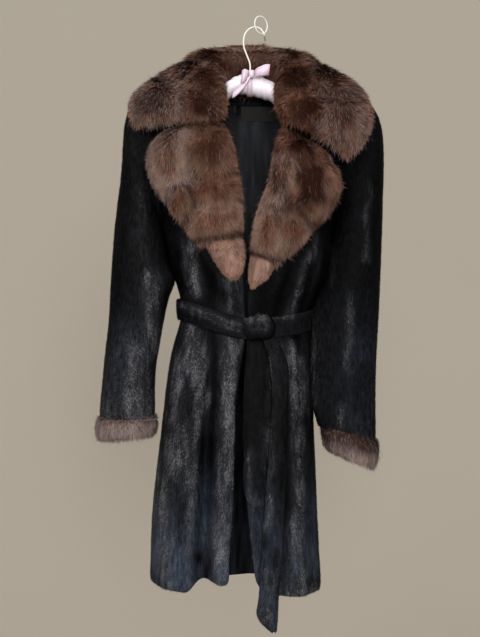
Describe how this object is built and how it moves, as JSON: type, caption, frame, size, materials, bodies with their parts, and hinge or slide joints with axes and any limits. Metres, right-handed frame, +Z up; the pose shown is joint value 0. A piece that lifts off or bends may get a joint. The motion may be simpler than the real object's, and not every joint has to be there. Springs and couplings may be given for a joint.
{
  "type": "belted fur coat on a padded hanger",
  "caption": "Knee-length coat of dark sheared fur with a wide brown fur collar and lapels, fur cuffs and a knotted tie belt, hung on a padded hanger.",
  "frame": {"origin": "highest point inside the hanging ring, where it bears on the rail or hook that holds it", "axes": "+Z up, -Y the way the wearer faces, -X the wearer's right"},
  "size_m": [0.5155, 0.2251, 1.0812],
  "materials": {
    "sheared_fur": "dense sheared fur pile, near black with grey-blue light on it",
    "long_fur": "long brown fur in let-out pelts with silver-grey guard hairs",
    "tip_fur": "short light brown fur",
    "cuff_fur": "grey-brown fur, medium length",
    "satin_lining": "dark satin with a faint woven figure",
    "woven_label": "plain black woven tape",
    "pink_satin": "pale pink satin, ruched",
    "coated_wire": "white coated wire"
  },
  "bodies": {
    "root": {"front_right": "sheared_fur", "front_left": "sheared_fur", "back": "sheared_fur", "back_lining": "satin_lining", "sleeve_right": "sheared_fur", "sleeve_left": "sheared_fur", "cuff_right": "cuff_fur", "cuff_left": "cuff_fur", "upper_collar": "long_fur", "lapel_right": "long_fur", "lapel_left": "long_fur", "lapel_tip_right": "tip_fur", "lapel_tip_left": "tip_fur", "belt": "sheared_fur", "belt_knot": "sheared_fur", "belt_end_long": "sheared_fur", "belt_end_short": "sheared_fur", "neck_label": "woven_label", "size_tab": "woven_label", "hanger_pad": "pink_satin", "hanger_bow": "pink_satin", "hanger_hook": "coated_wire", "hanging_ring": "coated_wire"}
  },
  "joints": []
}
